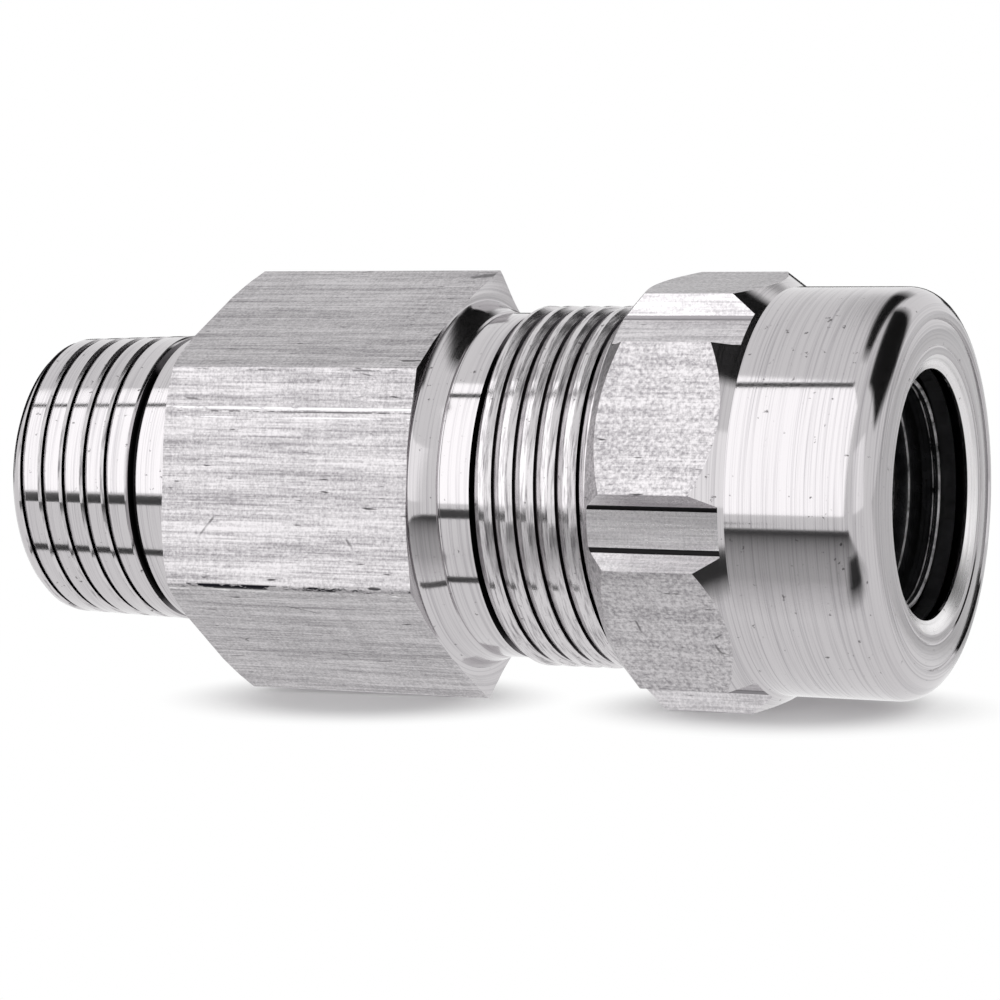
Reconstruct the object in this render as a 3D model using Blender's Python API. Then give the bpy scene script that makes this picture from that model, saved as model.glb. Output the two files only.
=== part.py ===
"""Liquid-tight gland connector for a jacketed metal-clad cable, lying along X with its pipe thread to the left.

The turned pieces are lofts of rings around the X axis: a body with a pipe thread and a wrench
hexagon, a gland nut, and inside them the washer, bushing, grounding ring and end stop.
"""
import math

import bmesh
import bpy

MM = 0.001

# Lengths along the axis, from the pipe end to the nut's face
PIPE_LENGTH = 15.0
HEX_LENGTH = 19.7
SHOULDER_LENGTH = 1.65
COLLAR_LENGTH = 2.35
EXPOSED_THREAD = 9.35
NUT_LENGTH = 20.5
GLAND_THREAD_LENGTH = 16.4

# Body sections
PIPE_RADIUS = 10.36
PIPE_TAPER = 1.0 / 32.0
PIPE_PITCH = 1.814
PIPE_THREAD_DEPTH = 1.1
PIPE_NECK = 3.8
PIPE_CHAMFER = 0.8
PIPE_WALL = 2.46
SOCKET_STEP = 1.0
SOCKET_DEPTH = 13.0
MOUTH_STEP = 1.9
MOUTH_DEPTH = 3.6
GLAND_WALL = 2.15
GLAND_PITCH = 1.5875
GLAND_THREAD_DEPTH = 0.9
COLLAR_STEP = 0.5
HEX_RISE = 1.05
HEX_TURN = math.radians(18.1)
HEX_CORNER_CHAMFER = 0.6

# Gland nut sections
NUT_WALL = 1.07
NUT_FILLET = 2.15
FLAT_RISE = 0.43
LAND_RISE = 1.43
LAND_LENGTH = 8.2
LAND_TAPER = 2.0
GROOVE_FLOOR_WIDTH = 2.9
GROOVE_CUT = 0.1
GROOVE_WALL_SLOPE = math.radians(41.0)
NUT_EDGE = 0.25
LIP_STEP = 0.8
LIP_CHAMFER = 0.55
LIP_LAND = 0.25
CONE_ANGLE = math.radians(45.0)
SEAT_STEP = 0.55
NUT_THREAD_DEPTH = 11.0

# Inner pieces
WASHER_THICKNESS = 0.9
WASHER_STEP = 0.1
BUSHING_SLACK = 0.5
RIB_COUNT = 5
RIB_DEPTH = 0.6
NOSE_LENGTH = 3.2
RING_LENGTH = 5.2
RING_THICKNESS = 0.6
RING_SQUEEZE = 0.4
FINGER_COUNT = 10
FINGER_GAP = 0.9
STOP_LENGTH = 2.6
STOP_STEP = 1.2

# Fits
CLEARANCE = 0.3
THREAD_CLEARANCE = 0.3

# Mesh steps round the axis
BODY_STEPS = 60
NUT_STEPS = 96
INNER_STEPS = 48

# Radii, from the pipe's wall inwards and outwards to the nut
THROAT_RADIUS = PIPE_RADIUS - PIPE_WALL
SOCKET_RADIUS = THROAT_RADIUS + SOCKET_STEP
MOUTH_RADIUS = SOCKET_RADIUS + MOUTH_STEP
GLAND_RADIUS = MOUTH_RADIUS + GLAND_WALL
COLLAR_RADIUS = GLAND_RADIUS - COLLAR_STEP
HEX_APOTHEM = COLLAR_RADIUS + HEX_RISE
HEX_CORNER = HEX_APOTHEM / math.cos(math.pi / 6.0)
NUT_BORE = GLAND_RADIUS + THREAD_CLEARANCE
NUT_RADIUS = NUT_BORE + NUT_WALL
LAND_APOTHEM = NUT_RADIUS + FLAT_RISE
LAND_RADIUS = NUT_RADIUS + LAND_RISE
GROOVE_FLOOR_RADIUS = NUT_RADIUS - GROOVE_CUT
SEAT_RADIUS = GLAND_RADIUS - SEAT_STEP
LIP_RADIUS = THROAT_RADIUS + LIP_STEP
WASHER_BORE = LIP_RADIUS + WASHER_STEP
BUSHING_BORE = THROAT_RADIUS
BUSHING_RADIUS = SEAT_RADIUS - BUSHING_SLACK
RING_NECK_RADIUS = THROAT_RADIUS - RING_SQUEEZE
STOP_BORE = THROAT_RADIUS - STOP_STEP

# Places along the axis
OVERALL_LENGTH = PIPE_LENGTH + HEX_LENGTH + SHOULDER_LENGTH + COLLAR_LENGTH + EXPOSED_THREAD + NUT_LENGTH
PIPE_END = -OVERALL_LENGTH / 2.0
HEX_START = PIPE_END + PIPE_LENGTH
PIPE_THREAD_LENGTH = PIPE_LENGTH - PIPE_NECK
HEX_END = HEX_START + HEX_LENGTH
COLLAR_START = HEX_END + SHOULDER_LENGTH
GLAND_START = COLLAR_START + COLLAR_LENGTH
GLAND_END = GLAND_START + GLAND_THREAD_LENGTH
NUT_START = GLAND_START + EXPOSED_THREAD
NUT_END = NUT_START + NUT_LENGTH
SOCKET_FLOOR = GLAND_END - SOCKET_DEPTH
LIP_BACK = NUT_END - LIP_CHAMFER - LIP_LAND

# The hexagon's corner and the nut's flat share the work of holding the axis up
LOWEST_CORNER = max(-math.sin(HEX_TURN + step * math.pi / 3.0) for step in range(6))
AXIS_HEIGHT = max(HEX_CORNER * LOWEST_CORNER, LAND_APOTHEM)


def new_material(name, color, roughness, metallic):
    material = bpy.data.materials.new(name)
    material.use_nodes = True
    shader = material.node_tree.nodes["Principled BSDF"]
    shader.inputs["Base Color"].default_value = (*color, 1.0)
    shader.inputs["Roughness"].default_value = roughness
    shader.inputs["Metallic"].default_value = metallic
    return material


def circle(radius):
    """A round section: the same radius at every angle."""
    return lambda angle: radius


def hexagon(apothem, turn=0.0):
    """A six-sided section with a corner at the turn angle."""
    def radius(angle):
        from_middle = (angle - turn) % (math.pi / 3.0) - math.pi / 6.0
        return apothem / math.cos(from_middle)
    return radius


def rounded_hexagon(apothem, corner_radius, turn):
    """A six-sided section whose corners are turned down to a radius."""
    plain = hexagon(apothem, turn)
    return lambda angle: min(plain(angle), corner_radius)


def blend(first, second, share):
    """A section part of the way from one to another."""
    return lambda angle: first(angle) * (1.0 - share) + second(angle) * share


def loft(name, sections, steps, material, axis, start, turn=0.0):
    """A closed tube skinned over (x, section) pairs that go out along the outside and back along the bore."""
    mesh = bmesh.new()
    rings = []
    for x, section in sections:
        ring = []
        for step in range(steps):
            angle = turn + step * 2.0 * math.pi / steps
            radius = section(angle)
            place = (x - start, radius * math.cos(angle), radius * math.sin(angle))
            ring.append(mesh.verts.new([value * MM for value in place]))
        rings.append(ring)
    for index, ring in enumerate(rings):
        following = rings[(index + 1) % len(rings)]
        for step in range(steps):
            beside = (step + 1) % steps
            mesh.faces.new((ring[step], following[step], following[beside], ring[beside]))
    bmesh.ops.recalc_face_normals(mesh, faces=mesh.faces)
    return add_object(name, mesh, material, axis, start)


def add_object(name, mesh, material, axis, start):
    data = bpy.data.meshes.new(name)
    mesh.to_mesh(data)
    mesh.free()
    data.shade_smooth()
    data.set_sharp_from_angle(angle=math.radians(30.0))
    data.materials.append(material)
    piece = bpy.data.objects.new(name, data)
    bpy.context.collection.objects.link(piece)
    piece.parent = axis
    piece.location = (start * MM, 0.0, 0.0)
    return piece


def wedge_cutter(name, profile, low, high, angles, owner):
    """Prisms along X with one (across, outward) profile, repeated round the axis, to cut from the owner."""
    mesh = bmesh.new()
    for angle in angles:
        across = (-math.sin(angle), math.cos(angle))
        outward = (math.cos(angle), math.sin(angle))
        ends = []
        for x in (low, high):
            ring = []
            for side, height in profile:
                y = side * across[0] + height * outward[0]
                z = side * across[1] + height * outward[1]
                ring.append(mesh.verts.new((x * MM, y * MM, z * MM)))
            ends.append(ring)
        mesh.faces.new(ends[0])
        mesh.faces.new(ends[1])
        count = len(profile)
        for index in range(count):
            beside = (index + 1) % count
            mesh.faces.new((ends[0][index], ends[0][beside], ends[1][beside], ends[1][index]))
    bmesh.ops.recalc_face_normals(mesh, faces=mesh.faces)
    data = bpy.data.meshes.new(name)
    mesh.to_mesh(data)
    mesh.free()
    cutter = bpy.data.objects.new(name, data)
    bpy.context.collection.objects.link(cutter)
    cutter.parent = owner
    cutter.hide_render = True
    cutter.display_type = "WIRE"
    return cutter


def cut(piece, cutter, operation="DIFFERENCE"):
    modifier = piece.modifiers.new(cutter.name, "BOOLEAN")
    modifier.operation = operation
    modifier.solver = "EXACT"
    modifier.object = cutter


def pipe_radius(x):
    return PIPE_RADIUS + (x - PIPE_END) * PIPE_TAPER


def pipe_thread():
    """The tapered pipe thread's ridges, as V grooves between flat crests."""
    first = PIPE_END + PIPE_CHAMFER
    count = int((PIPE_THREAD_LENGTH - PIPE_CHAMFER) / PIPE_PITCH)
    sections = [(PIPE_END, circle(pipe_radius(PIPE_END) - PIPE_CHAMFER))]
    for turn in range(count + 1):
        groove = first + (turn + 0.25) * PIPE_PITCH
        half = PIPE_PITCH * 0.42
        sections.append((groove - half, circle(pipe_radius(groove - half))))
        sections.append((groove, circle(pipe_radius(groove) - PIPE_THREAD_DEPTH)))
        sections.append((groove + half, circle(pipe_radius(groove + half))))
    sections.append((HEX_START, circle(pipe_radius(HEX_START))))
    return sections


def gland_thread():
    """The straight thread under the nut, with a chamfered start at its free end."""
    count = int((GLAND_THREAD_LENGTH - GLAND_THREAD_DEPTH) / GLAND_PITCH)
    half = GLAND_PITCH * 0.44
    sections = []
    for turn in range(count):
        groove = GLAND_START + (turn + 0.5) * GLAND_PITCH
        crest = COLLAR_RADIUS if turn == 0 else GLAND_RADIUS
        sections.append((groove - half, circle(crest)))
        sections.append((groove, circle(GLAND_RADIUS - GLAND_THREAD_DEPTH)))
        sections.append((groove + half, circle(GLAND_RADIUS)))
    sections.append((GLAND_END - GLAND_THREAD_DEPTH, circle(GLAND_RADIUS)))
    sections.append((GLAND_END, circle(GLAND_RADIUS - GLAND_THREAD_DEPTH)))
    return sections


def build_body(axis):
    metal = new_material("satin_aluminium_body", (0.78, 0.78, 0.79), 0.3, 1.0)
    flats = hexagon(HEX_APOTHEM, HEX_TURN)
    broken = rounded_hexagon(HEX_APOTHEM, HEX_CORNER - HEX_CORNER_CHAMFER, HEX_TURN)
    collar = circle(COLLAR_RADIUS)
    sections = pipe_thread()
    sections += [(HEX_START, broken), (HEX_START + HEX_CORNER_CHAMFER, flats), (HEX_END, flats)]
    for share in (0.35, 0.7):
        sections.append((HEX_END + share * SHOULDER_LENGTH, blend(flats, collar, share ** 1.4)))
    sections.append((COLLAR_START, collar))
    sections += gland_thread()
    sections += [
        (GLAND_END, circle(MOUTH_RADIUS)),
        (GLAND_END - MOUTH_DEPTH, circle(SOCKET_RADIUS)),
        (SOCKET_FLOOR, circle(SOCKET_RADIUS)),
        (SOCKET_FLOOR, circle(THROAT_RADIUS)),
        (PIPE_END, circle(THROAT_RADIUS)),
    ]
    return loft("body", sections, BODY_STEPS, metal, axis, PIPE_END, HEX_TURN)


def build_nut(axis):
    metal = new_material("satin_aluminium_nut", (0.8, 0.8, 0.81), 0.28, 1.0)
    land_end = NUT_START + LAND_LENGTH
    cylinder_start = land_end + LAND_TAPER
    cone_length = (SEAT_RADIUS - LIP_RADIUS) / math.tan(CONE_ANGLE)
    sections = [
        (NUT_START, circle(LAND_RADIUS - NUT_EDGE)),
        (NUT_START + NUT_EDGE, circle(LAND_RADIUS)),
        (land_end, circle(LAND_RADIUS)),
        (cylinder_start, circle(NUT_RADIUS)),
    ]
    for step in range(6):
        angle = step * math.pi / 10.0
        x = NUT_END - NUT_FILLET + NUT_FILLET * math.sin(angle)
        sections.append((x, circle(NUT_RADIUS - NUT_FILLET + NUT_FILLET * math.cos(angle))))
    sections += [
        (NUT_END, circle(LIP_RADIUS + LIP_CHAMFER)),
        (NUT_END - LIP_CHAMFER, circle(LIP_RADIUS)),
        (LIP_BACK, circle(LIP_RADIUS)),
        (LIP_BACK - cone_length, circle(SEAT_RADIUS)),
        (NUT_START + NUT_THREAD_DEPTH, circle(SEAT_RADIUS)),
        (NUT_START + NUT_THREAD_DEPTH, circle(NUT_BORE)),
        (NUT_START, circle(NUT_BORE)),
    ]
    nut = loft("gland_nut", sections, NUT_STEPS, metal, axis, NUT_START)
    half_corner = LAND_APOTHEM / math.cos(math.pi / 6.0)
    corners = [(half_corner * math.cos(step * math.pi / 3.0), half_corner * math.sin(step * math.pi / 3.0))
               for step in range(6)]
    prism = wedge_cutter("nut_flats", corners, -1.0, NUT_LENGTH + 1.0, [math.pi / 2.0], nut)
    cut(nut, prism, "INTERSECT")
    reach = LAND_RADIUS + 1.0 - GROOVE_FLOOR_RADIUS
    floor = GROOVE_FLOOR_WIDTH / 2.0
    opening = floor + reach * math.tan(GROOVE_WALL_SLOPE)
    profile = [(-floor, GROOVE_FLOOR_RADIUS), (floor, GROOVE_FLOOR_RADIUS),
               (opening, LAND_RADIUS + 1.0), (-opening, LAND_RADIUS + 1.0)]
    groove_end = LAND_LENGTH + LAND_TAPER
    angles = [step * math.pi / 3.0 for step in range(6)]
    cut(nut, wedge_cutter("nut_grooves", profile, -1.0, groove_end, angles, nut))
    return nut


def cone_line(offset, radius):
    """Where a surface parallel to the nut's inner cone, set back by the offset, has the given radius."""
    setback = offset / math.sin(CONE_ANGLE)
    return LIP_BACK - setback - (radius - LIP_RADIUS) / math.tan(CONE_ANGLE)


def build_washer(axis):
    nylon = new_material("black_nylon_washer", (0.03, 0.03, 0.032), 0.4, 0.0)
    rim = SEAT_RADIUS - CLEARANCE
    back = CLEARANCE + WASHER_THICKNESS
    tip = WASHER_BORE + 0.2
    front = cone_line(CLEARANCE, tip)
    rear = cone_line(back, rim)
    sections = [
        (rear, circle(rim)),
        (cone_line(CLEARANCE, rim), circle(rim)),
        (front, circle(tip)),
        (front, circle(WASHER_BORE)),
        (cone_line(back, WASHER_BORE), circle(WASHER_BORE)),
    ]
    return loft("slip_washer", sections, INNER_STEPS, nylon, axis, rear)


def build_bushing(axis):
    rubber = new_material("black_rubber_bushing", (0.022, 0.022, 0.024), 0.55, 0.0)
    offset = 2.0 * CLEARANCE + WASHER_THICKNESS
    mouth_slope = (MOUTH_RADIUS - SOCKET_RADIUS) / MOUTH_DEPTH
    flange = GLAND_END + CLEARANCE
    nose_end = GLAND_END - NOSE_LENGTH
    nose_gap = CLEARANCE * math.hypot(1.0, mouth_slope)
    nose_base = MOUTH_RADIUS - nose_gap
    nose_tip = nose_base - mouth_slope * NOSE_LENGTH
    tip = BUSHING_BORE + 0.3
    front = cone_line(offset, tip)
    sections = [
        (nose_end, circle(nose_tip)),
        (GLAND_END, circle(nose_base)),
        (flange, circle(nose_base)),
        (flange, circle(BUSHING_RADIUS)),
        (cone_line(offset, BUSHING_RADIUS), circle(BUSHING_RADIUS)),
        (front, circle(tip)),
        (front, circle(BUSHING_BORE)),
    ]
    pitch = (front - nose_end) / RIB_COUNT
    for rib in range(RIB_COUNT):
        middle = front - (rib + 0.5) * pitch
        sections += [
            (middle + 0.3 * pitch, circle(BUSHING_BORE)),
            (middle + 0.15 * pitch, circle(BUSHING_BORE + RIB_DEPTH)),
            (middle - 0.15 * pitch, circle(BUSHING_BORE + RIB_DEPTH)),
            (middle - 0.3 * pitch, circle(BUSHING_BORE)),
        ]
    sections.append((nose_end, circle(BUSHING_BORE)))
    return loft("sealing_bushing", sections, INNER_STEPS, rubber, axis, nose_end)


def build_end_stop(axis):
    nylon = new_material("natural_nylon_stop", (0.72, 0.69, 0.6), 0.45, 0.0)
    low = SOCKET_FLOOR + CLEARANCE
    high = low + STOP_LENGTH
    rim = SOCKET_RADIUS - CLEARANCE
    sections = [(low, circle(rim)), (high, circle(rim)), (high, circle(STOP_BORE)), (low, circle(STOP_BORE))]
    return loft("end_stop", sections, INNER_STEPS, nylon, axis, low)


def build_grounding_ring(axis):
    steel = new_material("stainless_grounding_ring", (0.62, 0.61, 0.59), 0.25, 1.0)
    low = SOCKET_FLOOR + STOP_LENGTH + 2.0 * CLEARANCE
    high = low + RING_LENGTH
    rim = SOCKET_RADIUS - CLEARANCE
    bend = low + 0.3 * RING_LENGTH
    sections = [
        (low, circle(rim)),
        (bend, circle(rim)),
        (high, circle(RING_NECK_RADIUS + RING_THICKNESS)),
        (high, circle(RING_NECK_RADIUS)),
        (bend, circle(rim - RING_THICKNESS)),
        (low, circle(rim - RING_THICKNESS)),
    ]
    ring = loft("grounding_ring", sections, INNER_STEPS, steel, axis, low)
    half = FINGER_GAP / 2.0
    profile = [(-half, RING_NECK_RADIUS - 2.0), (half, RING_NECK_RADIUS - 2.0), (half, rim + 1.0), (-half, rim + 1.0)]
    angles = [(step + 0.5) * 2.0 * math.pi / FINGER_COUNT for step in range(FINGER_COUNT)]
    cut(ring, wedge_cutter("finger_gaps", profile, 0.4 * RING_LENGTH, RING_LENGTH + 1.0, angles, ring))
    return ring


def main():
    for item in list(bpy.data.objects):
        bpy.data.objects.remove(item)
    axis = bpy.data.objects.new("connector_axis", None)
    bpy.context.collection.objects.link(axis)
    axis.location = (0.0, 0.0, AXIS_HEIGHT * MM)
    build_body(axis)
    build_nut(axis)
    build_washer(axis)
    build_bushing(axis)
    build_grounding_ring(axis)
    build_end_stop(axis)


main()
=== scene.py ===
# %% [markdown]
# # A straight gland connector in turned aluminium
# One side of this connector screws into a box with a taper pipe thread. The other side takes a jacketed cable
# through a gland nut, which squeezes a rubber bushing round it. The lesson builds the body, the nut and the
# bushing on top of the CAD model, which already holds the sizes and the way that the nut turns.

# %% Open the frame
import math

import bmesh
import bpy
from mathutils import Matrix, Vector


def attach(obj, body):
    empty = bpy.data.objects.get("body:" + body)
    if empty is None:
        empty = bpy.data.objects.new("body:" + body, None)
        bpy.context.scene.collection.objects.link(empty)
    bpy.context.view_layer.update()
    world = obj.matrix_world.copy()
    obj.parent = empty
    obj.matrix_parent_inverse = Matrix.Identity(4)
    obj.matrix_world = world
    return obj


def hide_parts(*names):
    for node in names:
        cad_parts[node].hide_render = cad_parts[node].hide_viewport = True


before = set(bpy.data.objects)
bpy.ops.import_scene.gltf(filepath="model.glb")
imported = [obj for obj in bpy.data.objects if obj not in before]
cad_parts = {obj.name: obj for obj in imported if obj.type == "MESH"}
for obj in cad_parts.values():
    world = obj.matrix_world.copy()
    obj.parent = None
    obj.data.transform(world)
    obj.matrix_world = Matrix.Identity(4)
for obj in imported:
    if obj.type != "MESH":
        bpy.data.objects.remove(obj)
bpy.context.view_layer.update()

print("CAD nodes:", sorted(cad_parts))

# %% [markdown]
# The connector is turned round one long axis, so it is modelled as on a lathe: every piece is made on the line
# y = 0, z = 0, and lifted to the height of the axis when it is finished. Sizes are in millimetres, as on a
# machinist's drawing, and one number turns them into Blender's metres.

# %% Units, the lathe's axis, and how a finished piece is put on it
MM = 0.001
AXIS_HEIGHT = 15.2534


def select_only(piece):
    """Make a piece the one selected and active object."""
    bpy.ops.object.select_all(action="DESELECT")
    piece.select_set(True)
    bpy.context.view_layer.objects.active = piece


def rest_object_on_axis(piece):
    """Lift a piece from the lathe's line to its place, and leave the place in its mesh."""
    select_only(piece)
    piece.location = (0.0, 0.0, AXIS_HEIGHT * MM)
    bpy.ops.object.transform_apply(location=True, rotation=True, scale=True)
    print(piece.name, len(piece.data.polygons), "faces")


# %% [markdown]
# Turned shapes start as half of their section. One point is pushed from corner to corner with Extrude, the last
# corner is joined to the first, and Spin carries the outline round the axis. So every shoulder, chamfer and
# fillet has its size from the drawing, which a stack of cylinders wouldn't give.

# %% Draw a section, then spin it
SPIN_STEPS = 144
# Points nearer than this are merged.
SAME_POINT = 0.001


def draw_section(name, corners):
    """Push one point round the (along, radius) corners of a section and close it."""
    bpy.ops.object.select_all(action="DESELECT")
    bpy.ops.mesh.primitive_plane_add(size=MM)
    piece = bpy.context.active_object
    piece.name = name
    places = [Vector((along * MM, 0.0, radius * MM)) for along, radius in corners]
    bpy.ops.object.mode_set(mode="EDIT")
    bpy.ops.mesh.select_mode(type="VERT")
    bpy.ops.mesh.select_all(action="SELECT")
    bpy.ops.mesh.merge(type="CENTER")
    bpy.ops.transform.translate(value=places[0])
    for here, there in zip(places, places[1:]):
        bpy.ops.mesh.extrude_region_move(TRANSFORM_OT_translate={"value": there - here})
    mesh = bmesh.from_edit_mesh(piece.data)
    mesh.verts.ensure_lookup_table()
    mesh.verts[0].select = True
    bmesh.update_edit_mesh(piece.data)
    bpy.ops.mesh.edge_face_add()
    bpy.ops.object.mode_set(mode="OBJECT")
    return piece


def face_outwards():
    """In edit mode, point all the faces outwards, and go back to object mode."""
    bpy.ops.mesh.select_all(action="SELECT")
    bpy.ops.mesh.normals_make_consistent(inside=False)
    bpy.ops.object.mode_set(mode="OBJECT")


def spin_section(name, corners, steps=SPIN_STEPS):
    """Turn a closed section round the axis into a solid ring."""
    piece = draw_section(name, corners)
    bpy.ops.object.mode_set(mode="EDIT")
    bpy.ops.mesh.select_all(action="SELECT")
    bpy.ops.mesh.spin(steps=steps, angle=math.tau, center=(0, 0, 0), axis=(1, 0, 0))
    bpy.ops.mesh.select_all(action="SELECT")
    bpy.ops.mesh.remove_doubles(threshold=SAME_POINT * MM)
    face_outwards()
    return piece


# %% [markdown]
# Threads, flats and grooves are cut, as they are on the real connector: a tool solid is laid over the work and a
# Boolean modifier takes it away. The faces that the tool leaves keep the tool's finish, so a groove can look
# different from the surface round it without any painting.

# %% Apply a modifier, cut one solid with another, and give faces a finish
def apply_modifier(piece, kind, **settings):
    """Add a modifier, set it up, and apply it."""
    select_only(piece)
    modifier = piece.modifiers.new(kind.title(), kind)
    for name, value in settings.items():
        setattr(modifier, name, value)
    bpy.ops.object.modifier_apply(modifier=modifier.name)


def cut(piece, tool, operation="DIFFERENCE"):
    """Cut a piece with a tool, whose finish stays on what it cuts, and put the tool away."""
    apply_modifier(piece, "BOOLEAN", operation=operation, object=tool, solver="EXACT", material_mode="TRANSFER")
    bpy.data.objects.remove(tool)


def finish_faces(piece, finish, wanted):
    """Give a finish to the faces that the test wants, from a face's place on the axis, radius and normal."""
    piece.data.materials.append(finish)
    slot = len(piece.data.materials) - 1
    for face in piece.data.polygons:
        along, radius = face.center.x / MM, math.hypot(face.center.y, face.center.z) / MM
        if wanted(along, radius, face.normal):
            face.material_index = slot


# %% [markdown]
# A node tree is easiest to read when each node is one line. The function below adds a node by its name without
# ShaderNode in front, sets its options and fills its inputs: a number or a hex colour is typed in, and another
# node is linked from its first output. Hex colours are the sRGB values that a colour picker reads, so they are
# turned into the renderer's linear values.

# %% Colours and nodes
OF_COLOURS = {"data_type": "RGBA"}


def srgb(hex_colour):
    """A hex colour as linear RGBA."""
    values = [int(hex_colour[place:place + 2], 16) / 255.0 for place in (1, 3, 5)]
    linear = [v / 12.92 if v <= 0.04045 else ((v + 0.055) / 1.055) ** 2.4 for v in values]
    return (*linear, 1.0)


def per_metre(size):
    """How many grains of a size in millimetres make a metre, which is what a pattern's scale counts."""
    return 1.0 / (size * MM)


def fill_inputs(tree, node, inputs):
    """Type a value or a hex colour into each input, or link it to another node or to one of its outputs."""
    for name, value in inputs.items():
        if isinstance(value, str):
            value = srgb(value)
        if isinstance(value, bpy.types.Node):
            value = next(output for output in value.outputs if output.enabled)
        if isinstance(value, bpy.types.NodeSocket):
            tree.links.new(value, node.inputs[name])
        else:
            node.inputs[name].default_value = value


def add_node(tree, kind, options=None, inputs=None):
    """Add a node, set its options, and fill its inputs."""
    node = tree.nodes.new("ShaderNode" + kind)
    for name, value in (options or {}).items():
        setattr(node, name, value)
    fill_inputs(tree, node, inputs or {})
    return node


def new_finish(name):
    """A material with its Principled shader, ready for the pattern nodes."""
    material = bpy.data.materials.new(name)
    material.use_nodes = True
    return material, material.node_tree, material.node_tree.nodes["Principled BSDF"]


# %% [markdown]
# A lathe tool leaves its path as fine rings. So the pattern of a turned surface is a noise that is read at the
# distance along the axis and the distance from it. It can't change round the part, except slowly, where the
# tool chattered.

# %% Coordinates on the lathe
def across_axis(tree, place):
    """A place as seen from the axis: how far it lies to the side of it and above it."""
    centred = add_node(tree, "Mapping",
                       inputs={"Vector": place, "Location": (0.0, 0.0, -AXIS_HEIGHT * MM)})
    return add_node(tree, "VectorMath", {"operation": "MULTIPLY"}, {0: centred, 1: (0, 1, 1)})


def lathe_coordinates(tree, place, ring_spacing, breakup):
    """Coordinates that run along the axis and outwards, so a pattern on them turns into rings."""
    across = across_axis(tree, place)
    radius = add_node(tree, "VectorMath", {"operation": "LENGTH"}, {0: across})
    along = add_node(tree, "SeparateXYZ", inputs={0: place})
    ring = add_node(tree, "CombineXYZ", inputs={"X": along.outputs["X"], "Y": radius})
    scaled = add_node(tree, "VectorMath", {"operation": "SCALE"},
                      {0: ring, "Scale": per_metre(ring_spacing)})
    facing = add_node(tree, "VectorMath", {"operation": "NORMALIZE"}, {0: across})
    around = add_node(tree, "VectorMath", {"operation": "SCALE"}, {0: facing, "Scale": breakup})
    return add_node(tree, "VectorMath", {"operation": "ADD"}, {0: scaled, 1: around})


# %% [markdown]
# The rings of turned aluminium are too fine to count, but they stretch its gloss across them, as on any brushed
# metal, and the shader's anisotropy does that. The ring spacing is drawn a little coarser than the real feed, so
# that it shows. A few dark pits break the rings, as in real bar stock.

# %% Turned aluminium
PIT_SIZE = 0.625
PIT_COLOUR = "#6E6B6D"


def turned_finish(name, colour, shade, roughness, ring_spacing, ring_depth, breakup=0.6):
    """Rings in two colours with a few dark pits, and a gloss that is stretched across the rings."""
    material, tree, shader = new_finish(name)
    place = add_node(tree, "TexCoord").outputs["Object"]
    rings = add_node(tree, "TexNoise", inputs={
        "Vector": lathe_coordinates(tree, place, ring_spacing, breakup),
        "Scale": 1.0, "Detail": 4.0, "Roughness": 0.65})
    pits = add_node(tree, "TexNoise", inputs={
        "Vector": place, "Scale": per_metre(PIT_SIZE), "Detail": 3.0, "Roughness": 0.7})
    wear = add_node(tree, "MapRange", inputs={"Value": rings, "From Min": 0.3, "From Max": 0.52})
    worn = add_node(tree, "Mix", OF_COLOURS, {"Factor": wear, "A": shade, "B": colour})
    pit = add_node(tree, "MapRange", inputs={"Value": pits, "From Min": 0.66, "From Max": 0.72})
    pitted = add_node(tree, "Mix", OF_COLOURS, {"Factor": pit, "A": worn, "B": PIT_COLOUR})
    gloss = add_node(tree, "MapRange", inputs={
        "Value": rings, "From Min": 0.3, "From Max": 0.7, "To Min": roughness * 1.3, "To Max": roughness * 0.8})
    relief = add_node(tree, "Bump", inputs={"Height": rings, "Distance": ring_depth * MM})
    tangent = add_node(tree, "Tangent", {"direction_type": "RADIAL", "axis": "X"})
    fill_inputs(tree, shader, {"Base Color": pitted, "Roughness": gloss, "Normal": relief, "Tangent": tangent,
                               "Metallic": 1.0, "Anisotropic": 0.85, "Anisotropic Rotation": 0.25})
    return material


# Turned aluminium: one pass of a round-nosed tool, so the rings are shallow and the eye sees crisp light bands.
turned_aluminium = turned_finish("turned_aluminium", "#C6C3C5", "#ABA8AB", 0.1, 0.15, 0.003)
# The nut's turned skin: the same cut, a little duller from hands and wrenches.
handled_aluminium = turned_finish("handled_turned_aluminium", "#C3C0C2", "#A4A1A4", 0.1, 0.15, 0.003)
# Thread-cut aluminium: a form tool tears the crests a little, so they are rougher, and darker in patches.
threaded_aluminium = turned_finish("thread_cut_aluminium", "#CECBCD", "#7C797C", 0.15, 0.16, 0.012, 5.0)
# Lip highlight: a painted highlight, nearly white, so the mouth has a pale rim.
lip_highlight_aluminium = turned_finish("painted_lip_highlight", "#F4F2F3", "#D9D7D8", 0.25, 0.3, 0.004)

# %% [markdown]
# Cutting oil and oxide stay in the bottom of a thread, and painted shade darkens it further, so the groove reads
# as a dark line. It turns lighter at the top and the bottom of the part, as painted light where the groove
# catches reflections. The height of a place above the axis tells where that is, and a little noise makes the
# border ragged.

# %% Thread roots
BORDER_NOISE_SIZE = 1.11


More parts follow.
